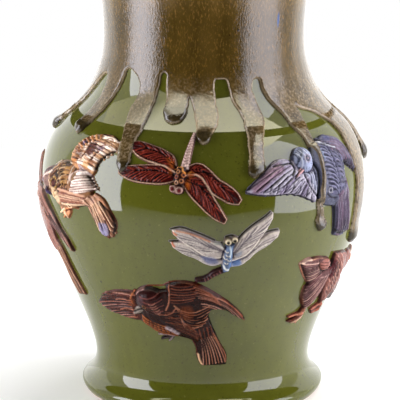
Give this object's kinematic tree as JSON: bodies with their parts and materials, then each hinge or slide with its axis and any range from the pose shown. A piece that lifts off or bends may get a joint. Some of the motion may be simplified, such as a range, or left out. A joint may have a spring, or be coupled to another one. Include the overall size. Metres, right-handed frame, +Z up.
{
  "type": "pottery vase",
  "caption": "Free-standing baluster stoneware vase, open at the mouth and hollow, with a run glaze on neck and shoulder and applied birds and dragonflies.",
  "frame": {"origin": "centre of the foot ring, on the plane the vase stands on", "axes": "+Z up along the vase's axis to the mouth, -Y the side with the white dragonfly and the dark brown sparrow, +X to the right of that side"},
  "size_m": [0.2323, 0.2307, 0.325],
  "materials": {
    "green_glazed_stoneware": "glossy olive green glaze over stoneware, foot ring bare",
    "ash_neck_glaze": "glossy thick brown ash glaze",
    "run_glaze": "glossy grey-brown glaze, run down in ropes with glassy ends",
    "dark_brown_glaze": "glossy dark brown glaze, breaking rust on the ridges",
    "cream_glaze": "glossy cream glaze with brown patches",
    "lilac_blue_glaze": "glossy lilac and blue glaze",
    "russet_glaze": "glossy russet glaze",
    "oxblood_glaze": "glossy oxblood glaze",
    "white_glaze": "glossy white glaze with grey veins"
  },
  "bodies": {
    "root": {"vase_body": "green_glazed_stoneware", "neck_glaze": "ash_neck_glaze", "glaze_run_01": "run_glaze", "glaze_run_02": "run_glaze", "glaze_run_03": "run_glaze", "glaze_run_04": "run_glaze", "glaze_run_05": "run_glaze", "glaze_run_06": "run_glaze", "glaze_run_07": "run_glaze", "glaze_run_08": "run_glaze", "glaze_run_09": "run_glaze", "glaze_run_10": "run_glaze", "glaze_run_11": "run_glaze", "glaze_run_12": "run_glaze", "glaze_run_13": "run_glaze", "glaze_run_14": "run_glaze", "sparrow_dark_brown": "dark_brown_glaze", "sparrow_cream": "cream_glaze", "sparrow_blue": "lilac_blue_glaze", "sparrow_russet_right": "russet_glaze", "sparrow_russet_left": "russet_glaze", "sparrow_brown_back": "dark_brown_glaze", "sparrow_cream_back": "cream_glaze", "dragonfly_red": "oxblood_glaze", "dragonfly_white": "white_glaze", "dragonfly_white_back": "white_glaze", "dragonfly_red_back": "oxblood_glaze"}
  },
  "joints": []
}
